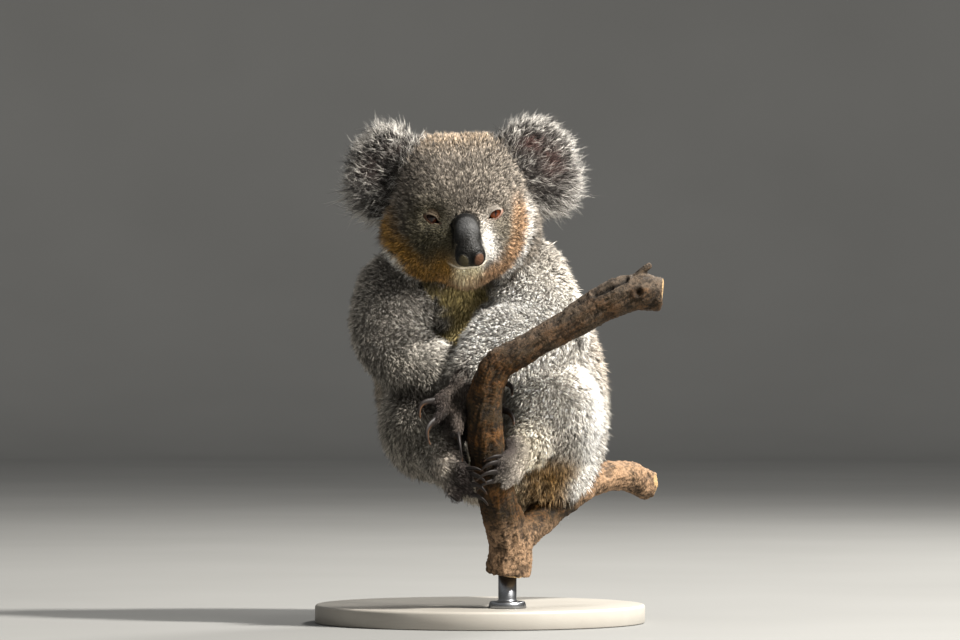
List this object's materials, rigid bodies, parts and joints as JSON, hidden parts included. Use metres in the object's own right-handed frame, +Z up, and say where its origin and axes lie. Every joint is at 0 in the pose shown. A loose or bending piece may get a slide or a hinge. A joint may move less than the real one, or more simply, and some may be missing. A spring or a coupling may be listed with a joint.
{
  "type": "koala model",
  "caption": "Life-size koala sitting hunched in the fork of a cut branch and gripping it, on a round display base with a short rod.",
  "frame": {"origin": "centre of the underside of the display base", "axes": "+Z up; the koala faces -Y, with its left side towards +X"},
  "size_m": [0.3464, 0.3519, 0.5091],
  "materials": {
    "grey_fur": "dense woolly fur, speckled grey-brown with cream tips",
    "ear_fur": "long grey fur with white tips round the rim",
    "nose_skin": "bare, finely pebbled, slightly damp skin",
    "eye": "polished amber iris with an upright slit pupil",
    "claw": "dark horn, amber at the point",
    "bark": "mottled brown and grey bark with pale sawn ends",
    "stand_board": "satin off-white paint",
    "stand_metal": "brushed"
  },
  "bodies": {
    "root": {"ear_left": "ear_fur", "ear_right": "ear_fur", "eye_left": "eye", "eye_right": "eye", "foot_left": "grey_fur", "foot_left_claw_1": "claw", "foot_left_claw_2": "claw", "foot_left_claw_3": "claw", "foot_left_claw_4": "claw", "foot_right": "grey_fur", "foot_right_claw_1": "claw", "foot_right_claw_2": "claw", "foot_right_claw_3": "claw", "foot_right_claw_4": "claw", "forearm_left": "grey_fur", "forearm_right": "grey_fur", "hand_left": "grey_fur", "hand_left_claw_1": "claw", "hand_left_claw_2": "claw", "hand_left_claw_3": "claw", "hand_left_claw_4": "claw", "hand_left_claw_5": "claw", "hand_right": "grey_fur", "hand_right_claw_1": "claw", "hand_right_claw_2": "claw", "hand_right_claw_3": "claw", "hand_right_claw_4": "claw", "hand_right_claw_5": "claw", "head": "grey_fur", "neck": "grey_fur", "nose": "nose_skin", "perch_branch": "bark", "perch_elbow": "bark", "perch_fork": "bark", "perch_seat": "bark", "perch_stem": "bark", "shin_left": "grey_fur", "shin_right": "grey_fur", "stand_base": "stand_board", "stand_rod": "stand_metal", "thigh_left": "grey_fur", "thigh_right": "grey_fur", "trunk": "grey_fur", "upper_arm_left": "grey_fur", "upper_arm_right": "grey_fur"}
  },
  "joints": []
}
